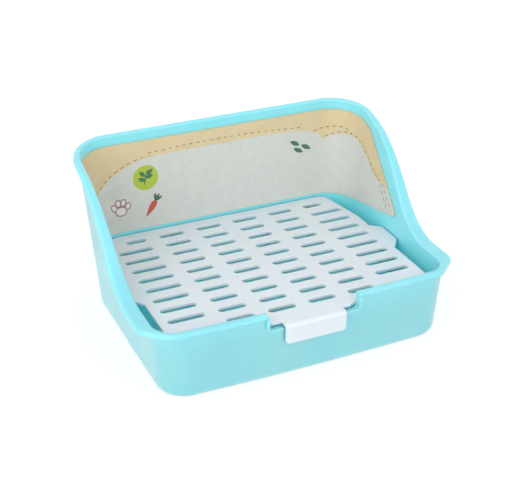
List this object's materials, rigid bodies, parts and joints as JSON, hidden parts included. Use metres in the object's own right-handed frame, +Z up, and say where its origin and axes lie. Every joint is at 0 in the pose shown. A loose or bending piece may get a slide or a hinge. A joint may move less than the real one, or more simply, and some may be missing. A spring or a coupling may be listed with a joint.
{
  "type": "small animal litter box",
  "caption": "Open litter box for a small pet: low front, high back, S-shaped sides, lift-out slotted grate with a front clip, and a printed liner.",
  "frame": {"origin": "on the ground, under the middle of the whole box", "axes": "+X to the box's right as seen from its low front, +Y from the low front to the raised back, +Z up"},
  "size_m": [0.3224, 0.2348, 0.1681],
  "materials": {
    "cyan_plastic": "satin",
    "white_plastic": "satin",
    "printed_sheet": "matt print"
  },
  "bodies": {
    "tray_body": {"tray": "cyan_plastic", "liner": "printed_sheet"},
    "grate_body": {"grate": "white_plastic"}
  },
  "joints": [
    {"name": "grate_lift", "type": "slide", "parent": "tray_body", "child": "grate_body", "axis": [0, 0, 1], "range_m": [0, 0.12]}
  ]
}
